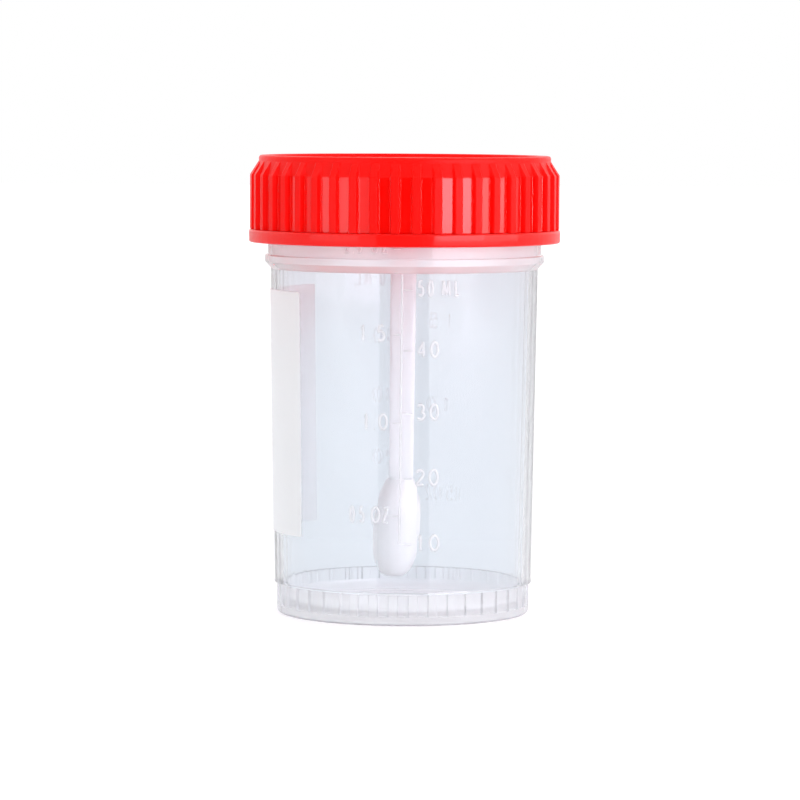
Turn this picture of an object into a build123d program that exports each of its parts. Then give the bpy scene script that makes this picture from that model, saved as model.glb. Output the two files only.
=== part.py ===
from build123d import *
from math import cos, radians, sin
import os

# Specimen container, 60 ml: clear cup, red screw lid, white spoon on the lid, label on the side.
# Millimetres, +Z up, origin at the centre of the base. The front is -Y and the label is on -X.
# The volume scale, its figures and the screw threads are surface detail and aren't cut here.

# Cup body
cup_wall = 1.1
floor_thickness = 1.4
body_bottom = 4.7
body_bottom_radius = 19.4
body_height = 47.4
body_top_radius = 20.14
body_bottom_edge = 0.2
bottom_wall = 1.45
floor_round = 1.6

# Foot and the ribbed band above it
foot_step = 0.37
foot_height = 1.35
foot_round = 0.7
foot_ring_width = 2.4
base_recess = 0.45
base_rib_count = 40
base_rib_width = 1.38
base_rib_height = 0.38
base_rib_angle = -85.5

# Flange and neck of the cup
flange_step = 0.9
flange_slope_height = 1.0
flange_height = 1.05
flange_edge = 0.2
shoulder_step = 0.46
shoulder_height = 2.5
thread_root_depth = 0.5
mouth_edge = 0.35

# Lid, outside
lid_height = 13.05
lid_above_flange = 1.85
skirt_clearance = 0.4
skirt_wall = 1.0
band_step = 1.45
band_height = 1.95
band_edge = 0.3
rim_round = 0.8
rim_width = 1.3
rim_rise = 0.55
rim_inner_slope = 0.3

# Grip ribs of the lid
grip_rib_count = 46
grip_rib_width = 1.3
grip_rib_height = 1.3
grip_rib_slope_length = 2.05
grip_rib_end_below_top = 0.85
grip_rib_angle = -93.0

# Lid, inside
lid_top_wall = 1.25
plug_wall = 0.95
plug_depth = 3.4
plug_lead_in = 0.4
plug_clearance = 0.08
seat_clearance = 0.1
socket_wall = 1.45
socket_depth = 5.2

# Spoon
pin_radius = 1.7
pin_clearance = 0.05
pin_end_clearance = 0.5
pin_lead_in = 0.3
stick_width = 3.85
stick_thickness = 2.2
stick_length = 41.75
stick_round = 0.5
bowl_length = 15.05
bowl_radius = 3.5
bowl_wide_share = 0.5
bowl_fullness = 0.78
bowl_flare = 1.0
bowl_wall = 0.85
bowl_neck_length = 1.4
bowl_lean = 3.0

# Label
label_bottom = 12.5
label_height = 36.45
label_thickness = 0.12
label_gap = 0.02
label_corner = 0.4
label_middle_angle = 178.5
label_arc = 82.0

# Cup: levels and radii that follow
body_top = body_bottom + body_height
flange_bottom = body_top + flange_slope_height
flange_top = flange_bottom + flange_height
shoulder_top = flange_top + shoulder_height
foot_radius = body_bottom_radius - foot_step
groove_radius = foot_radius - base_rib_height
inner_bottom_radius = body_bottom_radius - bottom_wall
flange_radius = body_top_radius + flange_step
shoulder_radius = body_top_radius + shoulder_step
neck_radius = shoulder_radius - thread_root_depth
mouth_inner_radius = neck_radius - cup_wall
body_slope = (body_top_radius - body_bottom_radius) / body_height

# Lid: it sits over the neck and plugs the mouth
lid_bottom = flange_top + lid_above_flange
lid_top = lid_bottom + lid_height
lid_face = lid_top - rim_rise
lid_underside = lid_face - lid_top_wall
mouth_top = lid_underside - seat_clearance
skirt_inner_radius = shoulder_radius + skirt_clearance
drum_radius = skirt_inner_radius + skirt_wall
band_radius = drum_radius + band_step
band_top = lid_bottom + band_height
plug_outer_radius = mouth_inner_radius - plug_clearance
plug_inner_radius = plug_outer_radius - plug_wall
plug_bottom = lid_underside - plug_depth

# Spoon: it hangs in the lid's socket
socket_radius = pin_radius + pin_clearance
socket_outer_radius = socket_radius + socket_wall
socket_bottom = lid_underside - socket_depth
stick_top = socket_bottom - seat_clearance
pin_top = lid_underside - pin_end_clearance
bowl_top = stick_top - stick_length
bowl_wide = bowl_wide_share * bowl_length
hollow_radius = bowl_radius - bowl_wall
hollow_length = bowl_length - bowl_wall
label_top = label_bottom + label_height


def body_radius(z):
    """Outer radius of the tapered cup body at the height z."""
    return body_bottom_radius + body_slope * (z - body_bottom)


def ring_edges(part, radius, z):
    """The circular edges of a part that have this radius and this height."""
    rings = part.edges().filter_by(GeomType.CIRCLE)
    return rings.filter_by(lambda e: abs(e.radius - radius) < 0.01 and abs(e.center().Z - z) < 0.01)


def upright_plane(angle):
    """The upright plane through the axis whose x runs outwards at this angle."""
    a = radians(angle)
    return Plane(origin=(0, 0, 0), x_dir=(cos(a), sin(a), 0), z_dir=(sin(a), -cos(a), 0))


# Cup: one revolved section, its edges, then the ribs of the base band
with BuildPart() as cup:
    with BuildSketch(Plane.XZ):
        with BuildLine():
            Polyline(
                (0, base_recess),
                (foot_radius - foot_ring_width - base_recess, base_recess),
                (foot_radius - foot_ring_width, 0),
                (foot_radius, 0),
                (foot_radius, foot_height),
                (groove_radius, foot_height),
                (groove_radius, body_bottom),
                (body_bottom_radius, body_bottom),
                (body_top_radius, body_top),
                (flange_radius, flange_bottom),
                (flange_radius, flange_top),
                (shoulder_radius, flange_top),
                (shoulder_radius, shoulder_top),
                (neck_radius, shoulder_top + thread_root_depth),
                (neck_radius, mouth_top),
                (mouth_inner_radius, mouth_top),
                (mouth_inner_radius, body_top),
                (inner_bottom_radius, floor_thickness),
                (0, floor_thickness),
                close=True,
            )
        make_face()
    revolve(axis=Axis.Z)
    fillet(ring_edges(cup.part, foot_radius, 0), foot_round)
    fillet(ring_edges(cup.part, inner_bottom_radius, floor_thickness), floor_round)
    chamfer(ring_edges(cup.part, body_bottom_radius, body_bottom), body_bottom_edge)
    chamfer(ring_edges(cup.part, flange_radius, flange_bottom), flange_edge)
    chamfer(ring_edges(cup.part, flange_radius, flange_top), flange_edge)
    chamfer(ring_edges(cup.part, neck_radius, mouth_top), mouth_edge)
    chamfer(ring_edges(cup.part, mouth_inner_radius, mouth_top), mouth_edge)
    with Locations((0, 0, foot_height)):
        with PolarLocations(foot_radius, base_rib_count, start_angle=base_rib_angle):
            Box(
                2 * base_rib_height,
                base_rib_width,
                body_bottom - foot_height,
                align=(Align.MAX, Align.CENTER, Align.MIN),
            )
cup.part.label = "cup"

# One grip rib of the lid, from inside the band up to its sloped end
with BuildPart() as grip_rib:
    with BuildSketch(Plane.XZ):
        with BuildLine():
            Polyline(
                (drum_radius - skirt_wall / 2, band_top - band_height / 2),
                (drum_radius + grip_rib_height, band_top - band_height / 2),
                (drum_radius + grip_rib_height, lid_top - grip_rib_end_below_top - grip_rib_slope_length),
                (drum_radius, lid_top - grip_rib_end_below_top),
                (drum_radius - skirt_wall / 2, lid_top - grip_rib_end_below_top),
                close=True,
            )
        make_face()
    extrude(amount=grip_rib_width / 2, both=True)

# Lid: a revolved section with its plug ring and the spoon's socket, then the grip ribs
with BuildPart() as lid:
    with BuildSketch(Plane.XZ):
        with BuildLine():
            Polyline(
                (skirt_inner_radius, lid_bottom),
                (band_radius, lid_bottom),
                (band_radius, band_top),
                (drum_radius, band_top),
                (drum_radius, lid_top),
                (drum_radius - rim_width, lid_top),
                (drum_radius - rim_width - rim_inner_slope, lid_face),
                (0, lid_face),
                (0, lid_underside),
                (socket_radius, lid_underside),
                (socket_radius, socket_bottom),
                (socket_outer_radius, socket_bottom),
                (socket_outer_radius, lid_underside),
                (plug_inner_radius, lid_underside),
                (plug_inner_radius, plug_bottom),
                (plug_outer_radius - plug_lead_in, plug_bottom),
                (plug_outer_radius, plug_bottom + plug_lead_in),
                (plug_outer_radius, lid_underside),
                (skirt_inner_radius, lid_underside),
                close=True,
            )
        make_face()
    revolve(axis=Axis.Z)
    fillet(ring_edges(lid.part, drum_radius, lid_top), rim_round)
    chamfer(ring_edges(lid.part, band_radius, lid_bottom), band_edge)
    chamfer(ring_edges(lid.part, band_radius, band_top), band_edge)
    chamfer(ring_edges(lid.part, skirt_inner_radius, lid_bottom), band_edge)
    with PolarLocations(0, grip_rib_count, start_angle=grip_rib_angle):
        add(grip_rib.part)
lid.part.label = "lid"

# The bowl's own plane: its rim, in line with the stick's back and leaning a little to -X
lean = radians(bowl_lean)
rim_plane = Plane(
    origin=(0, stick_thickness / 2, bowl_top),
    x_dir=(-cos(lean), 0, sin(lean)),
    z_dir=(0, 1, 0),
)
bowl_axis = Axis(rim_plane.origin, rim_plane.y_dir)

# Spoon: half-round scooped bowl, flat stick and the round pin that the lid holds
with BuildPart() as spoon:
    with BuildSketch(rim_plane):
        with BuildLine():
            Bezier(
                (stick_width / 2, 0),
                (stick_width / 2 + bowl_flare, -bowl_wide / 5),
                (bowl_radius, -bowl_wide / 2),
                (bowl_radius, -bowl_wide),
            )
            Bezier(
                (bowl_radius, -bowl_wide),
                (bowl_radius, -bowl_wide - bowl_fullness * (bowl_length - bowl_wide)),
                (bowl_fullness * bowl_radius, -bowl_length),
                (0, -bowl_length),
            )
            Polyline((0, -bowl_length), (0, 0), (stick_width / 2, 0))
        make_face()
    revolve(axis=bowl_axis, revolution_arc=180)
    with BuildSketch(rim_plane):
        with BuildLine():
            Bezier(
                (0, -bowl_neck_length),
                (hollow_radius / 2, -bowl_neck_length),
                (hollow_radius, -bowl_wide / 2),
                (hollow_radius, -bowl_wide),
            )
            Bezier(
                (hollow_radius, -bowl_wide),
                (hollow_radius, -bowl_wide - bowl_fullness * (hollow_length - bowl_wide)),
                (bowl_fullness * hollow_radius, -hollow_length),
                (0, -hollow_length),
            )
            Line((0, -hollow_length), (0, -bowl_neck_length))
        make_face()
    revolve(axis=bowl_axis, revolution_arc=180, mode=Mode.SUBTRACT)
    with BuildSketch(Plane.XY.offset(bowl_top - bowl_neck_length / 2)):
        RectangleRounded(stick_width, stick_thickness, stick_round)
    extrude(amount=stick_length + bowl_neck_length / 2)
    with BuildSketch(Plane.XY.offset(stick_top)):
        Circle(pin_radius)
    extrude(amount=pin_top - stick_top)
    chamfer(ring_edges(spoon.part, pin_radius, pin_top), pin_lead_in)
spoon.part.label = "spoon"

# Label: a thin strip on the tapered wall
with BuildPart() as label:
    with BuildSketch(upright_plane(label_middle_angle - label_arc / 2)):
        with BuildLine():
            Polyline(
                (body_radius(label_bottom) + label_gap, label_bottom),
                (body_radius(label_bottom) + label_gap + label_thickness, label_bottom),
                (body_radius(label_top) + label_gap + label_thickness, label_top),
                (body_radius(label_top) + label_gap, label_top),
                close=True,
            )
        make_face()
    revolve(axis=Axis.Z, revolution_arc=label_arc)
    short_edges = label.edges().filter_by(lambda e: e.length < 2 * label_thickness)
    fillet(short_edges, label_corner)
label.part.label = "label"

os.makedirs("parts", exist_ok=True)
for piece in (cup, lid, spoon, label):
    export_step(piece.part, f"parts/{piece.part.label}.step")
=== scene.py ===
import bpy
import numpy as np
from math import cos, pi, radians, sin, tan
from mathutils import Euler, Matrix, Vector


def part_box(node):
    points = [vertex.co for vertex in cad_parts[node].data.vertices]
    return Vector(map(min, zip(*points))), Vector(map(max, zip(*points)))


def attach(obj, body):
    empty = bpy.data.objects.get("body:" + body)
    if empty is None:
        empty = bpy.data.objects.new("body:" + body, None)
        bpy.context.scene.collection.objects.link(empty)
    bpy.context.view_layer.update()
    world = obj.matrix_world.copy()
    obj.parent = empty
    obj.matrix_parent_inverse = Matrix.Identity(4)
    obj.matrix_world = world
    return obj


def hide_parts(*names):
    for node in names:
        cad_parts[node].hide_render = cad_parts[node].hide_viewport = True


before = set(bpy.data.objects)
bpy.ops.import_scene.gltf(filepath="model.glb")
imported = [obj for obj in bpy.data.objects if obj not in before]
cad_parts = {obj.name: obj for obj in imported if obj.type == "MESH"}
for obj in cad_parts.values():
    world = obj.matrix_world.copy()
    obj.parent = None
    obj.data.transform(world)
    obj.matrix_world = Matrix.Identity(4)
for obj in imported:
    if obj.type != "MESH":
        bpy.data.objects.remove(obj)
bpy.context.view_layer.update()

mm = 0.001
white = (1, 1, 1, 1)
print("frame loaded")


# ---- surfaces ----

# A polyline through (r, z, rounding) corners, where each corner in between becomes an arc.
def roundedPath(corners, steps=4):
    c = np.array(corners, float)
    points = [c[0, :2]]
    for before, here, after in zip(c[:-2], c[1:-1], c[2:]):
        toBefore, toAfter = before[:2] - here[:2], after[:2] - here[:2]
        lengths = np.hypot(*toBefore), np.hypot(*toAfter)
        d1, d2 = toBefore / lengths[0], toAfter / lengths[1]
        half = np.arccos(np.clip(d1 @ d2, -1, 1)) / 2
        reach = min(here[2] / tan(half), 0.48 * min(lengths))
        if reach < 1e-4:
            points.append(here[:2])
            continue
        middle = here[:2] + (d1 + d2) / np.hypot(*(d1 + d2)) * reach / cos(half)
        v1, v2 = here[:2] + d1 * reach - middle, here[:2] + d2 * reach - middle
        sweep = pi - 2 * half
        for s in np.linspace(0, 1, steps + 1):
            points.append(middle + (v1 * sin((1 - s) * sweep) + v2 * sin(s * sweep)) / sin(sweep))
    points.append(c[-1, :2])
    return np.array(points)


# Corner numbers of the quads between the rows and columns of a grid of points.
def gridQuads(rows, columns, around=True, along=False):
    i = np.arange(rows if along else rows - 1)[:, None]
    j = np.arange(columns if around else columns - 1)[None, :]
    up, right = (i + 1) % rows, (j + 1) % columns
    here, above = i * columns, up * columns
    return np.stack([here + j, here + right, above + right, above + j], -1).reshape(-1, 4)


# Vertices, quads and triangles of a grid whose columns go all the way round. Its first and last
# row are closed by fans, or joined to each other.
def closedGrid(grid, along=False):
    rows, columns = grid.shape[:2]
    vertices = grid.reshape(-1, 3)
    if along:
        return vertices, gridQuads(rows, columns, along=True), np.zeros((0, 3), int)
    ring, count, last = np.arange(columns), rows * columns, (rows - 1) * columns
    onward = (ring + 1) % columns
    triangles = np.vstack([
        np.stack([ring, np.full(columns, count), onward], -1),
        np.stack([last + onward, np.full(columns, count + 1), last + ring], -1),
    ])
    vertices = np.vstack([vertices, grid[0].mean(axis=0), grid[-1].mean(axis=0)])
    return vertices, gridQuads(rows, columns), triangles


# Makes one object from vertices in millimetres, quads and triangles. The signed volume says
# whether the faces look outwards. Each vertex takes the sum of its faces' area vectors as its
# normal, so that large flat faces stay flat and the narrow ones between them look rounded.
def meshObject(name, vertices, quads, triangles):
    a, b, c, d = (vertices[quads[:, k]] for k in range(4))
    t = vertices[triangles]
    volume = np.einsum("ij,ij->i", a, np.cross(b, c) + np.cross(c, d)).sum()
    volume += np.einsum("ij,ij->i", t[:, 0], np.cross(t[:, 1], t[:, 2])).sum()
    if volume < 0:
        quads, triangles = quads[:, ::-1], triangles[:, ::-1]
    a, b, c, d = (vertices[quads[:, k]] for k in range(4))
    quadArea = np.cross(c - a, d - b)
    t = vertices[triangles]
    triangleArea = np.cross(t[:, 1] - t[:, 0], t[:, 2] - t[:, 0])
    normals = np.zeros_like(vertices)
    np.add.at(normals, quads.ravel(), np.repeat(quadArea, 4, axis=0))
    np.add.at(normals, triangles.ravel(), np.repeat(triangleArea, 3, axis=0))
    normals /= np.maximum(np.linalg.norm(normals, axis=1), 1e-12)[:, None]
    corners = np.concatenate([quads.ravel(), triangles.ravel()]).astype(np.int32)
    sizes = np.concatenate([np.full(len(quads), 4), np.full(len(triangles), 3)])
    starts = np.concatenate([[0], np.cumsum(sizes)[:-1]]).astype(np.int32)
    mesh = bpy.data.meshes.new(name)
    mesh.vertices.add(len(vertices))
    mesh.vertices.foreach_set("co", (vertices * mm).astype(np.float32).ravel())
    mesh.loops.add(len(corners))
    mesh.loops.foreach_set("vertex_index", corners)
    mesh.polygons.add(len(sizes))
    mesh.polygons.foreach_set("loop_start", starts)
    mesh.update(calc_edges=True)
    mesh.validate()
    mesh.polygons.foreach_set("use_smooth", np.ones(len(mesh.polygons), bool))
    mesh.normals_split_custom_set_from_vertices(normals.tolist())
    piece = bpy.data.objects.new(name, mesh)
    bpy.context.scene.collection.objects.link(piece)
    return piece


# A turned surface from the radius and height of every row and the angles of the columns. The
# radius may differ from column to column, where ribs or a thread change it.
def turned(name, radius, height, angles):
    z = np.broadcast_to(height[:, None], radius.shape)
    grid = np.stack([radius * np.cos(angles), radius * np.sin(angles), z], -1)
    return meshObject(name, *closedGrid(grid))


# Angles of the columns for evenly spaced ribs with sloping flanks, and for each column how much
# of the rib stands there, from 0 in the gap to 1 on its crest. Columns lie close to both ends of
# each flank, which rounds its edges, and with a rim there is one more on the flat beside each.
def ribColumns(count, first, crest, root, height, radius, edge, inGap=1, rim=0):
    c, q = crest / 2, root / 2
    share = min(edge / height, 0.4)
    half = [
        (c - edge, 1),
        (c + share * (q - c), 1 - share),
        (q - share * (q - c), share),
        (q + edge, 0),
    ]
    if rim:
        half = [(c - edge - rim, 1)] + half + [(q + edge + rim, 0)]
    rib = [(-u, m) for u, m in half[::-1]] + half
    pitch = 2 * pi / count * radius
    gap = [(u, 0) for u in np.linspace(half[-1][0], pitch - half[-1][0], inGap + 2)[1:-1]]
    u, m = np.array(rib + gap).T
    angles = (radians(first) + np.arange(count)[:, None] * 2 * pi / count + u / radius).ravel()
    return angles, np.tile(m, count)


# Share of a helical ridge that stands at each row and column: the height above the nearest turn
# is compared with the ridge's half width, and the ridge runs out over part of a turn at both ends.
def helixRidge(z, angles, start, pitch, turns, crest, base, runOut=0.08):
    turn = (z[:, None] - start) / pitch - angles[None, :] / (2 * pi)
    nearest = np.round(turn)
    along = nearest + angles[None, :] / (2 * pi)
    distance = np.abs(turn - nearest) * pitch
    ridge = np.clip((base / 2 - distance) / (base / 2 - crest / 2), 0, 1)
    return ridge * np.clip(np.minimum(along, turns - along) / runOut, 0, 1)


# ---- shader helper ----

# Wraps a socket, so that shader maths reads as an expression. An operator adds a Math node.
class Field:
    def __init__(self, tree, socket=None):
        self.tree, self.socket = tree, socket

    def node(self, kind, settings=(), values=(), output=0):
        made = self.tree.nodes.new(kind)
        for key, value in dict(settings).items():
            setattr(made, key, value)
        for key, value in dict(values).items():
            if isinstance(value, Field):
                self.tree.links.new(value.socket, made.inputs[key])
            else:
                made.inputs[key].default_value = value
        return Field(self.tree, made.outputs[output])

    def math(self, operation, a, b=0.0):
        return self.node("ShaderNodeMath", {"operation": operation}, {0: a, 1: b})

    def __add__(self, other):
        return self.math("ADD", self, other)

    def __radd__(self, other):
        return self.math("ADD", other, self)

    def __sub__(self, other):
        return self.math("SUBTRACT", self, other)

    def __rsub__(self, other):
        return self.math("SUBTRACT", other, self)

    def __mul__(self, other):
        return self.math("MULTIPLY", self, other)

    def __rmul__(self, other):
        return self.math("MULTIPLY", other, self)

    def noise(self, scale, detail=3.0, roughness=0.5):
        values = {"Vector": self, "Scale": scale, "Detail": detail, "Roughness": roughness}
        return self.node("ShaderNodeTexNoise", {}, values)

    # noise stays mostly between 0.3 and 0.7, which this spreads from low to high
    def spread(self, low, high):
        values = {0: self, 1: 0.3, 2: 0.7, 3: low, 4: high}
        return self.node("ShaderNodeMapRange", {"clamp": True}, values)

    # 0 below low, 1 above high and straight in between
    def step(self, low, high):
        values = {0: self, 1: low, 2: high, 3: 0.0, 4: 1.0}
        return self.node("ShaderNodeMapRange", {"clamp": True}, values)

    # length of a vector after each of its parts is scaled, such as the distance from the axis
    def across(self, scale):
        flat = self.node("ShaderNodeVectorMath", {"operation": "MULTIPLY"}, {0: self, 1: scale})
        return self.node("ShaderNodeVectorMath", {"operation": "LENGTH"}, {0: flat}, output=1)

    # the x and y parts of a vector
    def parts(self):
        split = self.node("ShaderNodeSeparateXYZ", {}, {0: self}).socket.node
        return Field(self.tree, split.outputs[0]), Field(self.tree, split.outputs[1])

    # first colour where the field is 0, second where it is 1
    def mixColour(self, a, b):
        return self.node("ShaderNodeMix", {"data_type": "RGBA"}, {0: self, 6: a, 7: b}, output=2)

    def bump(self, distance, strength=1.0):
        values = {"Height": self, "Distance": distance, "Strength": strength}
        return self.node("ShaderNodeBump", {}, values)


# Outputs of one Light Path node, by name.
def lightPath(tree, *names):
    path = tree.nodes.new("ShaderNodeLightPath")
    return [Field(tree, path.outputs[name]) for name in names]


# A new material with a Principled shader, whose constants are set on its own sockets, and the
# Object coordinates that its patterns read.
def principled(name, **constants):
    material = bpy.data.materials.new(name)
    material.use_nodes = True
    tree = material.node_tree
    shader = tree.nodes["Principled BSDF"]
    for key, value in constants.items():
        shader.inputs[key.replace("_", " ")].default_value = value
    where = Field(tree).node("ShaderNodeTexCoord", output=3)
    return material, shader, where


# Links fields to the sockets of a shader, by name.
def feed(shader, **fields):
    for key, field in fields.items():
        field.tree.links.new(field.socket, shader.inputs[key.replace("_", " ")])


# ---- materials ----

clearPlastic = {
    "tint": (0.9, 0.925, 0.945, 1),
    "through": (0.96, 0.97, 0.98, 1),
    "clearness": 0.92,
    "ior": 1.49,
    "hazeScale": 60.0,
    "roughLow": 0.01,
    "roughHigh": 0.04,
    "waveScale": 220.0,
    "waviness": 0.000003,
}
thickPlastic = dict(
    clearPlastic, tint=(0.935, 0.955, 0.97, 1), clearness=0.64, roughLow=0.1, roughHigh=0.18
)


# Lets rays from lamps straight through a surface, tinted. All other rays meet the surface itself.
def letRaysThrough(material, shader, where, tint):
    (isShadow,) = lightPath(where.tree, "Is Shadow Ray")
    through = where.node("ShaderNodeBsdfTransparent", {}, {"Color": tint})
    surface = Field(where.tree, shader.outputs[0])
    mixed = where.node("ShaderNodeMixShader", {}, {0: isShadow, 1: surface, 2: through})
    where.tree.links.new(mixed.socket, where.tree.nodes["Material Output"].inputs["Surface"])


# Clear, slightly milky polypropylene, milkier where it is thick. Rays from lamps pass straight
# through it, so that what is inside the cup is lit.
def makeClearPlastic(name, p):
    material, shader, where = principled(
        name, Base_Color=p["tint"], IOR=p["ior"], Transmission_Weight=p["clearness"]
    )
    haze = where.noise(p["hazeScale"], 4.0)
    feed(
        shader,
        Roughness=haze.spread(p["roughLow"], p["roughHigh"]),
        Normal=where.noise(p["waveScale"], 1.0).bump(p["waviness"]),
    )
    letRaysThrough(material, shader, where, p["through"])
    return material


raisedPlastic = {
    "colour": (0.96, 0.965, 0.985, 1),
    "shade": (0.9, 0.91, 0.95, 1),
    "shadeShare": 0.6,
    "ior": 1.49,
    # how much of the strokes' painted white highlight shows, more on the front copy than on the
    # back one
    "highlightCoverFront": 0.5,
    "highlightCoverBack": 0.14,
    "cloudScale": 400.0,
    "roughLow": 0.1,
    "roughHigh": 0.25,
}


# The raised strokes of the scale. Where they cover, their white is painted highlight that stands
# in for the glints of their small round faces.
def makeRaisedPlastic(name, p, cover):
    material, shader, where = principled(name, IOR=p["ior"], Alpha=cover)
    cloud = where.noise(p["cloudScale"])
    feed(
        shader,
        Base_Color=cloud.spread(0.0, p["shadeShare"]).mixColour(p["colour"], p["shade"]),
        Roughness=cloud.spread(p["roughLow"], p["roughHigh"]),
    )
    return material


redPlastic = {
    "colour": (0.95, 0.005, 0.003, 1),
    "deep": (0.86, 0.003, 0.002, 1),
    "deepShare": 0.35,
    "through": (0.88, 0.12, 0.22, 1),
    "ior": 1.5,
    "shine": 0.12,
    "coatRough": 0.05,
    "glow": 0.6,
    "glowRadius": (1.0, 0.04, 0.03),
    "glowScale": 0.0025,
    "cloudScale": 90.0,
    "panelEdge": (0.0226, 0.0228),
    "panelTop": (0.0660, 0.0662),
    "panelLow": 0.05,
    "panelHigh": 0.09,
    "panelGloss": 0.85,
    "bandTop": (0.0579, 0.0581),
    "bandGloss": 0.4,
    "satinLow": 0.28,
    "satinHigh": 0.38,
    "grainScale": 4500.0,
    "grain": 0.00004,
    "grainStrength": 0.6,
}


# Red polypropylene: polished panels between satin, finely grained ribs and rim, and a band with
# some gloss below them. Panels are what lies inside the edge radius and below their top height.
# Red light passes through the thin walls.
def makeRedPlastic(p):
    material, shader, where = principled(
        "redPlastic",
        IOR=p["ior"],
        Specular_IOR_Level=p["shine"],
        Coat_Roughness=p["coatRough"],
        Subsurface_Weight=p["glow"],
        Subsurface_Radius=p["glowRadius"],
        Subsurface_Scale=p["glowScale"],
    )
    cloud = where.noise(p["cloudScale"])
    satin = where.across((1, 1, 0)).step(*p["panelEdge"])
    satin = satin.math("MAXIMUM", satin, where.across((0, 0, 1)).step(*p["panelTop"]))
    polish = cloud.spread(p["panelLow"], p["panelHigh"])
    band = 1 - where.across((0, 0, 1)).step(*p["bandTop"])
    gloss = (1 - satin) * p["panelGloss"] + satin * band * p["bandGloss"]
    feed(
        shader,
        Base_Color=cloud.spread(0.0, p["deepShare"]).mixColour(p["colour"], p["deep"]),
        Roughness=polish + satin * (cloud.spread(p["satinLow"], p["satinHigh"]) - polish),
        Coat_Weight=gloss,
        Normal=(where.noise(p["grainScale"], 2.0) * satin).bump(p["grain"], p["grainStrength"]),
    )
    letRaysThrough(material, shader, where, p["through"])
    return material


whitePlastic = {
    "colour": (0.95, 0.93, 0.935, 1),
    "cool": (0.91, 0.905, 0.92, 1),
    "coolShare": 0.6,
    "ior": 1.5,
    "glow": 0.6,
    "glowRadius": (1.0, 0.95, 0.95),
    "glowScale": 0.003,
    "flowStretch": (1, 1, 0.12),
    "flowScale": 500.0,
    "roughLow": 0.25,
    "roughHigh": 0.4,
    "grain": 0.00001,
    "grainStrength": 0.5,
}


# White, slightly translucent polystyrene with soft flow marks along the stick.
def makeWhitePlastic(p):
    material, shader, where = principled(
        "whitePlastic",
        IOR=p["ior"],
        Subsurface_Weight=p["glow"],
        Subsurface_Radius=p["glowRadius"],
        Subsurface_Scale=p["glowScale"],
    )
    drawn = where.node("ShaderNodeMapping", {}, {"Vector": where, "Scale": p["flowStretch"]})
    flow = drawn.noise(p["flowScale"])
    feed(
        shader,
        Base_Color=flow.spread(0.0, p["coolShare"]).mixColour(p["colour"], p["cool"]),
        Roughness=flow.spread(p["roughLow"], p["roughHigh"]),
        Normal=flow.bump(p["grain"], p["grainStrength"]),
    )
    return material


paper = {
    "colour": (0.965, 0.995, 1.0, 1),
    "fibre": (0.93, 0.965, 0.985, 1),
    "fibreShare": 0.7,
    "through": (0.66, 0.68, 0.7, 1),
    "ior": 1.45,
    "glow": 0.7,
    "glowRadius": (1.0, 1.0, 1.0),
    "glowScale": 0.001,
    "rough": 0.75,
    "fibreScale": 2600.0,
    "mottleScale": 150.0,
    "mottleShare": 0.4,
    "grain": 0.00002,
    "grainStrength": 0.5,
}


# Bare matt sticker paper with fine fibres over a broader mottle. Some light passes through it.
def makePaper(p):
    material, shader, where = principled(
        "labelPaper",
        Roughness=p["rough"],
        IOR=p["ior"],
        Subsurface_Weight=p["glow"],
        Subsurface_Radius=p["glowRadius"],
        Subsurface_Scale=p["glowScale"],
    )
    fibres = where.noise(p["fibreScale"], 4.0, 0.7)
    broad = where.noise(p["mottleScale"], 2.0)
    mottle = fibres * (1 - p["mottleShare"]) + broad * p["mottleShare"]
    feed(
        shader,
        Base_Color=mottle.spread(0.0, p["fibreShare"]).mixColour(p["colour"], p["fibre"]),
        Normal=fibres.bump(p["grain"], p["grainStrength"]),
    )
    letRaysThrough(material, shader, where, p["through"])
    return material


clearMaterial = makeClearPlastic("clearPlastic", clearPlastic)
thickMaterial = makeClearPlastic("thickPlastic", thickPlastic)
# the front strokes carry more of the painted highlight than the back ones
raisedFront = makeRaisedPlastic("raisedFront", raisedPlastic, raisedPlastic["highlightCoverFront"])
raisedBack = makeRaisedPlastic("raisedBack", raisedPlastic, raisedPlastic["highlightCoverBack"])
redMaterial = makeRedPlastic(redPlastic)
whiteMaterial = makeWhitePlastic(whitePlastic)
paperMaterial = makePaper(paper)
print("materials made")


# Gives a finished piece its material and the body that it rides on, and hides the parts that it
# replaces.
def finishPiece(piece, material, body, slotName, *nodes):
    piece.data.materials.append(material)
    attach(piece, body)
    if nodes:
        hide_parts(*nodes)


# ---- cup ----

cup = {
    "bodyBottomRadius": 19.4,
    "bodyTopRadius": 20.14,
    "bodyBottom": 4.7,
    "bodyTop": 52.1,
    "floor": 1.4,
    "bottomWall": 1.45,
    "wall": 1.1,
    "footStep": 0.37,
    "footHeight": 1.35,
    "footRing": 2.4,
    "recess": 0.45,
    "ribs": 40,
    "ribFirst": -85.5,
    "ribCrest": 1.28,
    "ribRoot": 1.48,
    "ribHeight": 0.38,
    "ribEdge": 0.06,
    "beadHeight": 0.1,
    "beadRise": 0.35,
    "flangeRadius": 21.04,
    "flangeBottom": 53.1,
    "flangeTop": 54.15,
    "shoulderRadius": 20.6,
    "shoulderTop": 56.65,
    "neckRadius": 20.1,
    "mouthRound": 0.35,
    "innerTopRound": 6.0,
    "innerFloorRound": 1.6,
    "poleRadius": 0.5,
    "threadStart": 59.0,
    "threadPitch": 3.6,
    "threadTurns": 1.6,
    "threadHeight": 0.45,
    "threadCrest": 0.7,
    "threadBase": 1.5,
    "neckRowStep": 0.22,
}


# Outer radius of the cup's body, a straight taper from its bottom to its top.
def bodyRadius(z):
    rise = (z - cup["bodyBottom"]) / (cup["bodyTop"] - cup["bodyBottom"])
    return cup["bodyBottomRadius"] + (cup["bodyTopRadius"] - cup["bodyBottomRadius"]) * rise


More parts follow.
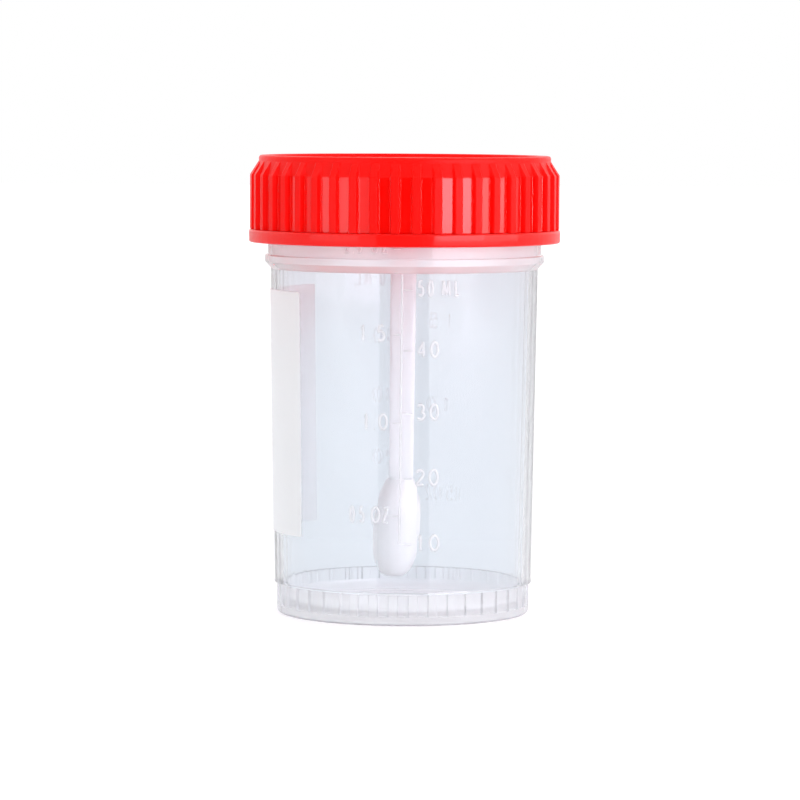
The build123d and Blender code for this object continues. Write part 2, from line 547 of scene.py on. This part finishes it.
# One turned surface from the middle of the base, up the outside and down the inside to the
# middle of the floor. The ribs push out the rows of the base band, and the thread those of the
# neck.
def makeCup(p):
    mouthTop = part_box("cup")[1][2] / mm
    footRadius = p["bodyBottomRadius"] - p["footStep"]
    groove = footRadius - p["ribHeight"]
    slope = p["shoulderRadius"] - p["neckRadius"]
    bead = p["bodyBottom"] + p["beadRise"]
    outside = roundedPath([
        (p["poleRadius"], p["recess"], 0),
        (footRadius - p["footRing"] - p["recess"], p["recess"], 0.3),
        (footRadius - p["footRing"], 0, 0.25),
        (footRadius, 0, 0.7),
        (footRadius, p["footHeight"], 0.08),
        (groove, p["footHeight"], 0.06),
        (groove, p["bodyBottom"], 0.06),
        (p["bodyBottomRadius"] + p["beadHeight"], p["bodyBottom"], 0.12),
        (bodyRadius(bead), bead, 0.1),
        (p["bodyTopRadius"], p["bodyTop"], 0.25),
        (p["flangeRadius"], p["flangeBottom"], 0.2),
        (p["flangeRadius"], p["flangeTop"], 0.2),
        (p["shoulderRadius"], p["flangeTop"], 0.12),
        (p["shoulderRadius"], p["shoulderTop"], 0.15),
        (p["neckRadius"], p["shoulderTop"] + slope, 0.15),
        (p["neckRadius"], p["shoulderTop"] + slope + 0.4, 0),
    ])
    neckZ = np.arange(outside[-1, 1] + p["neckRowStep"], mouthTop - 0.8, p["neckRowStep"])
    neck = np.stack([np.full(len(neckZ), p["neckRadius"]), neckZ], -1)
    innerRadius = p["neckRadius"] - p["wall"]
    inside = roundedPath([
        (p["neckRadius"], mouthTop - 0.7, 0),
        (p["neckRadius"], mouthTop, p["mouthRound"]),
        (innerRadius, mouthTop, p["mouthRound"]),
        (innerRadius, p["bodyTop"], p["innerTopRound"]),
        (p["bodyBottomRadius"] - p["bottomWall"], p["floor"], p["innerFloorRound"]),
        (p["poleRadius"], p["floor"], 0),
    ], steps=8)
    path = np.vstack([outside, neck, inside])
    angles, onRib = ribColumns(
        p["ribs"], p["ribFirst"], p["ribCrest"], p["ribRoot"], p["ribHeight"],
        footRadius, p["ribEdge"], inGap=3
    )
    r, z = path.T
    row = np.arange(len(path))
    inBand = (r < groove + 0.2) & (z > p["footHeight"] - 0.05) & (z < p["bodyBottom"] + 0.05)
    inBand &= row < len(outside)
    radius = r[:, None] + np.where(inBand, footRadius - r, 0)[:, None] * onRib
    ridge = helixRidge(
        z, angles, p["threadStart"], p["threadPitch"], p["threadTurns"],
        p["threadCrest"], p["threadBase"]
    )
    inNeck = (row >= len(outside)) & (row < len(outside) + len(neck))
    radius = radius + inNeck[:, None] * ridge * p["threadHeight"]
    piece = turned("cup_shell", radius, z, angles)
    finishPiece(piece, clearMaterial, "container", "clear_plastic", "cup")
    # the foot with its ribbed band, the flange and the neck are thick, and take the milkier finish
    piece.data.materials.append(thickMaterial)
    middles = np.zeros(3 * len(piece.data.polygons))
    piece.data.polygons.foreach_get("center", middles)
    middleZ = middles[2::3] / mm
    thick = (middleZ < p["bodyBottom"]) | (middleZ > p["bodyTop"])
    piece.data.polygons.foreach_set("material_index", thick.astype(np.int32))


makeCup(cup)
print("cup made")


# ---- volume scale ----

# Figures are given as their sign, the place of their left edge beside the middle of the scale
# and their outer width, all along the wall.
scale = {
    "lineTop": -0.33,
    "lineFoot": -0.56,
    "lineWidth": 0.3,
    "lineFrom": 12.2,
    "lineEndBelowTop": 0.3,
    "rise": 0.15,
    "sink": 0.02,
    "sectionPoints": 7,
    "endTaper": (0.4, 0.85),
    "tickWidth": 0.2,
    "millilitreTick": (-0.06, 1.25),
    "ounceTick": (-1.58, -0.55),
    "figureHeight": 2.6,
    "strokeWidth": 0.42,
    "dotWidth": 0.34,
    "millilitres": {
        12.2: [("1", 2.05, 0.8), ("0", 3.8, 1.68)],
        21.9: [("2", 1.65, 1.55), ("0", 3.65, 1.65)],
        31.55: [("3", 1.8, 1.45), ("0", 3.75, 1.55)],
        40.75: [("4", 1.85, 1.45), ("0", 3.82, 1.42)],
        49.7: [("5", 1.83, 1.18), ("0", 3.37, 1.02), ("M", 5.5, 1.45), ("L", 7.5, 1.0)],
    },
    "ounces": {
        16.33: [
            ("0", -8.2, 0.95), (".", -7.2, 0.46), ("5", -6.73, 1.02),
            ("O", -4.88, 1.56), ("Z", -3.22, 1.15),
        ],
        30.08: [("1", -5.95, 0.62), (".", -4.56, 0.46), ("0", -3.79, 1.5)],
        43.1: [("1", -6.55, 0.7), (".", -5.01, 0.46), ("5", -4.12, 1.44)],
        55.67: [
            ("2", -9.2, 1.05), (".", -7.9, 0.46), ("0", -7.28, 1.0),
            ("O", -5.2, 1.45), ("Z", -3.47, 1.25),
        ],
    },
    "topRowLift": 0.35,  # the ounce row on the shoulder stands this much higher
    "sides": {
        # name: turn, lift of the figures, shift of the millilitre and of the ounce figures
        "scale_front": (-90, 0.22, 0.0, 0.0),
        "scale_back": (90, 0.0, -0.35, -1.4),
    },
}


# Points on part of an ellipse about (x, y), between two angles in degrees.
def arc(x, y, rx, ry, start, stop, steps=14):
    a = np.radians(np.linspace(start, stop, steps))
    return np.stack([x + rx * np.cos(a), y + ry * np.sin(a)], -1)


# Strokes of the figures in a box one wide and one high, as an engraver's round cutter runs.
def figureStrokes():
    ring = arc(0.5, 0.5, 0.5, 0.5, 90, 450, 32)
    return {
        "0": [ring],
        "1": [[(0.0, 0.74), (0.8, 1.0), (0.8, 0.0)]],
        "2": [np.vstack([arc(0.5, 0.72, 0.46, 0.28, 165, -35), [(0.0, 0.0), (1.0, 0.0)]])],
        "3": [np.vstack([
            arc(0.45, 0.75, 0.45, 0.25, 150, -80),
            arc(0.45, 0.26, 0.55, 0.26, 80, -150),
        ])],
        "4": [[(0.74, 0.0), (0.74, 1.0), (0.0, 0.27), (1.0, 0.27)]],
        "5": [np.vstack([
            [(0.88, 1.0), (0.24, 1.0), (0.14, 0.54)],
            arc(0.46, 0.32, 0.52, 0.32, 125, -145),
        ])],
        ".": [[(0.0, 0.0), (1.0, 0.0)]],
        "M": [[(0.0, 0.0), (0.1, 1.0), (0.5, 0.08), (0.9, 1.0), (1.0, 0.0)]],
        "L": [[(0.0, 1.0), (0.0, 0.0), (1.0, 0.0)]],
        "O": [ring],
        "Z": [[(0.0, 1.0), (0.95, 1.0), (0.0, 0.0), (1.0, 0.0)]],
    }


# Points at even steps along a stroke, with its corners eased by a short running mean.
def evenStroke(points, step=0.07, ease=2):
    points = np.array(points, float)
    reach = np.concatenate([[0], np.cumsum(np.hypot(*np.diff(points, axis=0).T))])
    s = np.linspace(0, reach[-1], max(int(reach[-1] / step), 4))
    even = np.stack([np.interp(s, reach, points[:, k]) for k in (0, 1)], -1)
    if np.allclose(points[0], points[-1]):
        return even
    padded = np.vstack([np.repeat(even[:1], ease, 0), even, np.repeat(even[-1:], ease, 0)])
    weights = np.ones(2 * ease + 1) / (2 * ease + 1)
    eased = np.stack([np.convolve(padded[:, k], weights, "valid") for k in (0, 1)], -1)
    eased[[0, -1]] = even[[0, -1]]
    return eased


# Outer radius of the cup where the scale stands: the tapered body, then the shoulder.
def wallRadius(z):
    return np.where(z > cup["flangeTop"], cup["shoulderRadius"], bodyRadius(z))


# A bead along a stroke in the wall's own plane, u round the cup and v up it. Its section is half
# an ellipse over a flat sole sunk a little into the wall, and it narrows at open ends.
def beadGrid(stroke, width, p, turn):
    closed = np.allclose(stroke[0], stroke[-1])
    if closed:
        stroke = stroke[:-1]
        tangent = np.roll(stroke, -1, 0) - np.roll(stroke, 1, 0)
    else:
        tangent = np.gradient(stroke, axis=0)
    tangent = tangent / np.hypot(*tangent.T)[:, None]
    side = np.stack([-tangent[:, 1], tangent[:, 0]], -1)
    taper = np.ones((len(stroke), 1))
    if not closed:
        taper[:2, 0], taper[-2:, 0] = p["endTaper"], p["endTaper"][::-1]
    phi = np.linspace(0, pi, p["sectionPoints"])
    across = np.concatenate([np.cos(phi), [-0.5, 0.5]]) * width / 2
    lift = np.concatenate([np.sin(phi) * p["rise"], [-p["sink"], -p["sink"]]])
    lift[[0, p["sectionPoints"] - 1]] = -p["sink"]
    u = stroke[:, :1] + side[:, :1] * across * taper
    v = stroke[:, 1:] + side[:, 1:] * across * taper
    wall = wallRadius(v)
    radius = wall + np.where(lift > 0, lift * taper, lift)
    angle = turn + u / wall
    return np.stack([radius * np.cos(angle), radius * np.sin(angle), v], -1), closed


# Every raised line of one side of the scale: the long line, its ticks and the figures.
def makeScale(name, p, material):
    turn, lift, millilitreShift, ounceShift = p["sides"][name]
    turn = radians(turn)
    lineEnd = cup["bodyTop"] - p["lineEndBelowTop"]
    strokes = [([(p["lineFoot"], p["lineFrom"]), (p["lineTop"], lineEnd)], p["lineWidth"])]
    figures = figureStrokes()
    for rows, tick, shift in (
        (p["millilitres"], p["millilitreTick"], millilitreShift),
        (p["ounces"], p["ounceTick"], ounceShift),
    ):
        for z, row in rows.items():
            strokes.append(([(tick[0], z), (tick[1], z)], p["tickWidth"]))
            up = lift + (p["topRowLift"] if z > cup["flangeTop"] else 0)
            for sign, left, width in row:
                cut = p["dotWidth"] if sign == "." else p["strokeWidth"]
                low = z + up - (p["figureHeight"] - cut) / 2
                for points in figures[sign]:
                    box = np.array(points) * (width - cut, p["figureHeight"] - cut)
                    strokes.append((box + (left + shift + cut / 2, low), cut))
    vertices, quads, triangles, base = [], [], [], 0
    for stroke, width in strokes:
        grid, closed = beadGrid(evenStroke(stroke), width, p, turn)
        v, q, t = closedGrid(grid, along=closed)
        vertices.append(v)
        quads.append(q + base)
        triangles.append(t + base)
        base += len(v)
    piece = meshObject(name, np.vstack(vertices), np.vstack(quads), np.vstack(triangles))
    finishPiece(piece, material, "container", "clear_plastic")


makeScale("scale_front", scale, raisedFront)
makeScale("scale_back", scale, raisedBack)
print("volume scale made")


# ---- lid ----

lid = {
    "bandHeight": 1.95,
    "bandEdge": 0.3,
    "drumRadius": 22.0,
    "rimRound": 0.8,
    "rimWidth": 1.3,
    "rimSlope": 0.3,
    "rimRise": 0.55,
    "topWall": 1.25,
    "ribs": 46,
    "ribFirst": -93.6,
    "ribCrest": 1.15,
    "ribRoot": 1.45,
    "ribHeight": 1.3,
    "panelHeight": 0.5,
    "ribEdge": 0.08,
    "ribRim": 0.03,
    "ribSlope": 2.05,
    "ribEndBelowTop": 0.85,
    "skirtInner": 21.0,
    "plugOuter": 18.92,
    "plugWall": 0.95,
    "plugDepth": 3.4,
    "socketInner": 1.75,
    "socketOuter": 3.2,
    "socketDepth": 5.2,
    "threadStart": 57.2,
    "threadPitch": 3.6,
    "threadTurns": 1.5,
    "threadHeight": 0.34,
    "threadCrest": 0.6,
    "threadBase": 1.3,
    "rowStep": 0.25,
}


# One turned surface from the middle of the top, down the ribbed outside, up the threaded inside,
# round the plug ring and the socket to the middle of the underside.
def makeLid(p):
    low, high = (np.array(corner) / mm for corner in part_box("lid"))
    bottom, top, bandRadius = low[2], high[2], high[0]
    drum, skirt = p["drumRadius"], p["skirtInner"]
    face = top - p["rimRise"]
    under = face - p["topWall"]
    bandTop = bottom + p["bandHeight"]
    ribEnd = top - p["ribEndBelowTop"]
    shoulder = ribEnd - p["ribSlope"]
    topPart = roundedPath([
        (0.5, face, 0),
        (drum - p["rimWidth"] - p["rimSlope"], face, 0.25),
        (drum - p["rimWidth"], top, 0.3),
        (drum, top, p["rimRound"]),
        (drum, ribEnd + 0.02, 0),
    ])
    ribZ = np.concatenate([
        ribEnd - np.array([0.0, 0.1]),
        np.linspace(ribEnd - 0.5, shoulder + 0.4, 3),
        shoulder + np.array([0.1, 0.0, -0.1, -0.3]),
        np.linspace(shoulder - 1.5, bandTop + 1.0, 3),
        [bandTop + 0.12],
    ])
    ribPart = np.stack([np.full(len(ribZ), drum), ribZ], -1)
    bandPart = roundedPath([
        (drum, bandTop + 0.1, 0),
        (drum, bandTop, 0.08),
        (bandRadius, bandTop, p["bandEdge"]),
        (bandRadius, bottom, p["bandEdge"]),
        (skirt, bottom, p["bandEdge"]),
        (skirt, bottom + 0.6, 0),
    ])
    skirtZ = np.arange(bottom + 0.8, under - 0.6, p["rowStep"])
    skirtPart = np.stack([np.full(len(skirtZ), skirt), skirtZ], -1)
    plugBottom = under - p["plugDepth"]
    plugInner = p["plugOuter"] - p["plugWall"]
    insidePart = roundedPath([
        (skirt, under - 0.5, 0),
        (skirt, under, 0.3),
        (p["plugOuter"], under, 0.2),
        (p["plugOuter"], plugBottom, 0.35),
        (plugInner, plugBottom, 0.3),
        (plugInner, under, 0.4),
        (p["socketOuter"], under, 0.4),
        (p["socketOuter"], under - p["socketDepth"], 0.25),
        (p["socketInner"], under - p["socketDepth"], 0.15),
        (p["socketInner"], under, 0.1),
        (0.4, under, 0),
    ])
    path = np.vstack([topPart, ribPart, bandPart, skirtPart, insidePart])
    angles, onRib = ribColumns(
        p["ribs"], p["ribFirst"], p["ribCrest"], p["ribRoot"], p["ribHeight"] - p["panelHeight"],
        drum + p["ribHeight"], p["ribEdge"], rim=p["ribRim"]
    )
    r, z = path.T
    row = np.arange(len(path))
    first = len(topPart)
    inRibs = (row >= first) & (row < first + len(ribPart) + 2)
    # ribs and panels slope out from the drum below the rim and then run straight down to the band
    standing = np.where(inRibs, np.clip((ribEnd - z) / p["ribSlope"], 0, 1), 0)
    relief = p["panelHeight"] + (p["ribHeight"] - p["panelHeight"]) * onRib
    radius = r[:, None] + standing[:, None] * relief
    start = first + len(ribPart) + len(bandPart)
    inSkirt = (row >= start) & (row < start + len(skirtPart))
    ridge = helixRidge(
        z, angles, p["threadStart"], p["threadPitch"], p["threadTurns"],
        p["threadCrest"], p["threadBase"]
    )
    radius = radius - inSkirt[:, None] * ridge * p["threadHeight"]
    finishPiece(turned("lid_shell", radius, z, angles), redMaterial, "lid", "red_plastic", "lid")


makeLid(lid)
print("lid made")


# ---- spoon ----

spoon = {
    "stickWidth": 3.85,
    "stickThickness": 2.2,
    "pinRadius": 1.7,
    "pinLength": 4.7,
    "bowlLength": 15.05,
    "bowlRadius": 3.5,
    "bowlWall": 0.85,
    "wideShare": 0.5,
    "neck": 1.4,
    "flare": 2.8,
    "hollowFlare": 2.2,
    "fullness": 2.65,
    "lean": 3.0,
    "sway": 0.0105,
    "squareness": 6.0,
    "stickEnd": 0.92,
    "pinEnd": 0.84,
    "loop": 48,
    "bowlRows": 44,
}


# One grid of stations along the spoon, each a closed loop. The bowl's loop runs round its
# half-round front and back over rim, hollow and rim. The stick's is a superellipse, the curve
# where the powers of width and thickness add up to one, and the pin's is a circle.
def makeSpoon(p):
    low, high = (np.array(corner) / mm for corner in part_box("spoon"))
    pinTop = high[2]
    stickTop = pinTop - p["pinLength"]
    lean = radians(p["lean"])
    bowlTop = low[2] + p["bowlLength"] * cos(lean)
    half, rimPlane = p["stickWidth"] / 2, p["stickThickness"] / 2
    t = np.linspace(0, 2 * pi, p["loop"], endpoint=False)[None, :]
    c, s = np.cos(t), np.sin(t)

    # half width of the bowl at a distance from its top, for its outside or its hollow
    def bowlHalf(distance, radius, length, top, least, power):
        wide = p["wideShare"] * p["bowlLength"]
        below = np.clip((distance - wide) / (length - wide), 0, 1)
        end = (1 - below ** p["fullness"]) ** (1 / p["fullness"])
        above = np.clip((distance - top) / (wide - top), 0, 1)
        flare = least + (radius - least) * (1 - (1 - above) ** power)
        return np.where(distance > wide, radius * end, flare)

    length, wall = p["bowlLength"], p["bowlWall"]
    distance = length * (1 + np.cos(np.linspace(0, pi, p["bowlRows"])[:, None])) / 2
    outer = bowlHalf(distance, p["bowlRadius"], length, 0, half, p["flare"])
    inner = bowlHalf(
        distance, p["bowlRadius"] - wall, length - wall, p["neck"], 0, p["hollowFlare"]
    )
    inner = np.where(distance > length - wall, 0, inner)
    x = outer * c
    hollow = np.sqrt(np.clip(inner**2 - x**2, 0, None))
    y = np.where(s >= 0, rimPlane - outer * s, rimPlane - hollow)
    bowl = np.stack([x - distance * tan(lean), y, bowlTop - distance * cos(lean) + 0 * x], -1)

    def stations(z, width, thickness, power):
        z, width, thickness = (np.array(v, float)[:, None] for v in (z, width, thickness))
        share = (np.abs(c) ** power + np.abs(s) ** power) ** (-1 / power)
        return np.stack([width / 2 * c * share, -thickness / 2 * s * share, z + 0 * c], -1)

    between = np.linspace(bowlTop + 2, stickTop - 0.3, 8)
    stickZ = np.concatenate([[bowlTop + 0.6], between, [stickTop]])
    narrow = np.ones(len(stickZ))
    narrow[-1] = p["stickEnd"]
    stick = stations(
        stickZ, p["stickWidth"] * narrow, p["stickThickness"] * narrow, p["squareness"]
    )
    pinZ = [stickTop + 0.02, stickTop + 0.3, pinTop - 0.32, pinTop]
    pinWidth = 2 * p["pinRadius"] * np.array([1.0, 1.0, 1.0, p["pinEnd"]])
    pin = stations(pinZ, pinWidth, pinWidth, 2.0)
    grid = np.concatenate([bowl, stick, pin])
    # the whole spoon hangs a little to the left below its pin
    grid[..., 0] -= p["sway"] * np.clip(stickTop - grid[..., 2], 0, None)
    piece = meshObject("spoon_body", *closedGrid(grid))
    finishPiece(piece, whiteMaterial, "spoon", "white_plastic", "spoon")


makeSpoon(spoon)
print("spoon made")


# ---- label ----

label = {
    "bottom": 12.5,
    "top": 48.95,
    "middle": 178.5,
    "arc": 82.0,
    "thickness": 0.12,
    "gap": 0.02,
    "corner": 0.4,
    "cornerRows": 6,
    "sideRows": 12,
    "columns": 120,
}


# A sheet on the tapered wall. Its rows draw in near the top and bottom edge by a quarter circle,
# which rounds the corners, and each row loops over the front and back along the rear face.
def makeLabel(p):
    height = p["top"] - p["bottom"]
    turn = np.linspace(0, pi / 2, p["cornerRows"])
    rise, inset = p["corner"] * (1 - np.cos(turn)), p["corner"] * (1 - np.sin(turn))
    between = np.linspace(p["corner"] + 1, height - p["corner"] - 1, p["sideRows"])
    v = np.concatenate([rise, between, height - rise[::-1]])
    inset = np.concatenate([inset, 0 * between, inset[::-1]])
    z = p["bottom"] + v
    radius = (bodyRadius(z) + p["gap"])[:, None]
    halfArc = radians(p["arc"] / 2) - inset[:, None] / radius
    angle = radians(p["middle"]) + halfArc * np.linspace(-1, 1, p["columns"])
    angle = np.concatenate([angle, angle[:, ::-1]], axis=1)
    radius = radius + p["thickness"] * (np.arange(2 * p["columns"]) < p["columns"])
    grid = np.stack([radius * np.cos(angle), radius * np.sin(angle), z[:, None] + 0 * angle], -1)
    rows, columns = grid.shape[:2]
    j = np.arange(p["columns"] - 1)
    bottomStrip = np.stack([j + 1, j, columns - 1 - j, columns - 2 - j], -1)
    topStrip = bottomStrip[:, ::-1] + (rows - 1) * columns
    quads = np.vstack([gridQuads(rows, columns), bottomStrip, topStrip])
    piece = meshObject("label_sheet", grid.reshape(-1, 3), quads, np.zeros((0, 3), int))
    finishPiece(piece, paperMaterial, "container", "paper", "label")


makeLabel(label)
print("label made")


# ---- camera, light and floor ----

view = {
    "distance": 0.642,
    "height": 0.07825,
    "lens": 191.5,
    "pitch": 4.11,
    "side": -0.0008,
    "roll": -0.3,
}


# A long lens at the front, a little above the lid and looking slightly down.
def makeCamera(p):
    data = bpy.data.cameras.new("camera")
    data.lens, data.sensor_width = p["lens"], 36
    data.clip_start, data.clip_end = 0.01, 20
    camera = bpy.data.objects.new("camera", data)
    camera.location = (p["side"], -p["distance"], p["height"])
    camera.rotation_euler = Euler((radians(90 - p["pitch"]), radians(p["roll"]), 0), "XYZ")
    bpy.context.scene.collection.objects.link(camera)
    bpy.context.scene.camera = camera


light = {
    "tentLeft": 0.7,
    "tentRight": 1.5,
    "tentBack": 1.1,
    "slit": 0.36,
    "slitEdge": 0.004,
    "ambientFront": 0.8,
    "ambientBack": 0.88,
    "ambientFade": (-0.3, 0.5),
    "inside": 0.62,
    "through": (0.9, 0.94, 1.0, 1),
    "reach": 0.6,
    "aim": 0.035,
    "boxes": {
        # name: side angle, elevation, width, height, radiance, colour
        "keyBox": (42, 11, 0.42, 0.23, 4.1, (0.97, 0.88, 1.0)),
        "fillBox": (74, 12.5, 0.38, 0.27, 1.6, (1, 1, 1)),
        "leftBox": (-52, 12.5, 0.44, 0.27, 1.1, (0.9, 0.97, 1.0)),
        "topBox": (0, 88, 0.5, 0.5, 0.65, (1, 1, 1)),
    },
}


# A soft box of a given radiance, at the given reach from the object's middle and turned to it.
def softBox(name, p, side, up, width, height, radiance, colour):
    data = bpy.data.lights.new(name, "AREA")
    data.shape = "RECTANGLE"
    data.size, data.size_y, data.color = width, height, colour
    data.energy = radiance * pi * width * height
    lamp = bpy.data.objects.new(name, data)
    a, e = radians(side), radians(up)
    towards = Vector((sin(a) * cos(e), -cos(a) * cos(e), sin(e)))
    lamp.location = Vector((0, 0, p["aim"])) + towards * p["reach"]
    lamp.rotation_euler = towards.to_track_quat("Z", "Y").to_euler()
    bpy.context.scene.collection.objects.link(lamp)


# A white tent round the object with a dark slit in front, which shows only in what is mirrored.
# The camera sees plain white, rays straight through clear plastic see a little cooler white, and
# all other rays meet an even light, somewhat stronger for those that come out of the plastic.
# Depths count whole bounces, so 0.5 parts none from some.
def makeWorld(p):
    world = bpy.data.worlds.new("tent")
    bpy.context.scene.world = world
    world.use_nodes = True
    tree = world.node_tree
    tree.nodes.clear()
    output = tree.nodes.new("ShaderNodeOutputWorld")
    isCamera, isTransmission, mirrorDepth, diffuseDepth = lightPath(
        tree, "Is Camera Ray", "Is Transmission Ray", "Glossy Depth", "Diffuse Depth"
    )
    isMirrored = mirrorDepth.math("GREATER_THAN", mirrorDepth, 0.5)
    isPlain = diffuseDepth.math("LESS_THAN", diffuseDepth, 0.5)
    x, y = isCamera.node("ShaderNodeTexCoord").parts()
    aside = x.math("ABSOLUTE", x)
    beside = aside.step(p["slit"] - p["slitEdge"], p["slit"] + p["slitEdge"])
    isBehind = y.math("GREATER_THAN", y, 0.0)
    isRight = x.math("GREATER_THAN", x, 0.0)
    front = beside * (isRight * (p["tentRight"] - p["tentLeft"]) + p["tentLeft"])
    tent = isBehind * p["tentBack"] + (1 - isBehind) * front
    rise = p["ambientBack"] - p["ambientFront"]
    ambient = y.step(*p["ambientFade"]) * rise + p["ambientFront"]
    isThrough = isTransmission * isPlain * (1 - isMirrored)
    room = isMirrored * tent + (1 - isMirrored) * ambient * (1 + isTransmission * p["inside"])
    seen = isCamera.math("MAXIMUM", isCamera, isThrough)
    strength = seen + (1 - seen) * room
    colour = isThrough.mixColour(white, p["through"])
    background = seen.node("ShaderNodeBackground", {}, {"Color": colour, "Strength": strength})
    tree.links.new(background.socket, output.inputs["Surface"])


floor = {
    "front": -0.35,
    "back": 3.0,
    "side": 2.0,
    "colour": (0.86, 0.86, 0.87, 1),
    "whiteNear": 0.22,
    "whiteFar": 0.44,
    "farFrom": (0.05, 0.9),
    "throughFrom": (-0.3, 0.1),
    "slit": 0.385,
    "slitFrom": -0.055,
    "slitWhite": 0.08,
}


# A pale floor that keeps the soft shadow. Seen straight on it gets some of the tent's white added,
# more of it far from the lamps. Seen through clear plastic it turns to the tent's cooler white
# away from the object. The tent's dark slit runs on over it for what is mirrored.
def makeFloor(p, throughColour):
    front, back, side = (p[k] / mm for k in ("front", "back", "side"))
    corners = [(-side, front, 0), (side, front, 0), (side, back, 0), (-side, back, 0)]
    quad, noTriangles = np.array([[0, 1, 2, 3]]), np.zeros((0, 3), int)
    piece = meshObject("floor", np.array(corners, float), quad, noTriangles)
    material, shader, where = principled(
        "floorPaint", Base_Color=p["colour"], Roughness=0.9, Specular_IOR_Level=0.0
    )
    tree = where.tree
    isCamera, isTransmission, mirrorDepth = lightPath(
        tree, "Is Camera Ray", "Is Transmission Ray", "Glossy Depth"
    )
    isMirrored = mirrorDepth.math("GREATER_THAN", mirrorDepth, 0.5)
    away = where.across((1, 1, 0))
    far = away.step(*p["farFrom"])
    seen = isCamera * (p["whiteNear"] + far * (p["whiteFar"] - p["whiteNear"]))
    glow = seen.node("ShaderNodeEmission", {}, {"Color": white, "Strength": seen})
    total = glow.node("ShaderNodeAddShader", {}, {0: Field(tree, shader.outputs[0]), 1: glow})
    through = where.node("ShaderNodeEmission", {}, {"Color": throughColour, "Strength": 1.0})
    isThrough = isTransmission * (1 - isMirrored) * away.step(*p["throughFrom"])
    total = total.node("ShaderNodeMixShader", {}, {0: isThrough, 1: total, 2: through})
    x, y = where.parts()
    aside = x.math("ABSOLUTE", x)
    inWedge = x.math("LESS_THAN", aside + y * p["slit"], 0.0)
    inSlit = isMirrored * inWedge * y.math("LESS_THAN", y, p["slitFrom"])
    dark = where.node("ShaderNodeEmission", {}, {"Color": white, "Strength": p["slitWhite"]})
    shown = total.node("ShaderNodeMixShader", {}, {0: inSlit, 1: total, 2: dark})
    tree.links.new(shown.socket, tree.nodes["Material Output"].inputs["Surface"])
    piece.data.materials.append(material)


makeCamera(view)
makeWorld(light)
for boxName, box in light["boxes"].items():
    softBox(boxName, light, *box)
makeFloor(floor, light["through"])
bpy.context.scene.view_settings.view_transform = "Standard"
print("stage made")
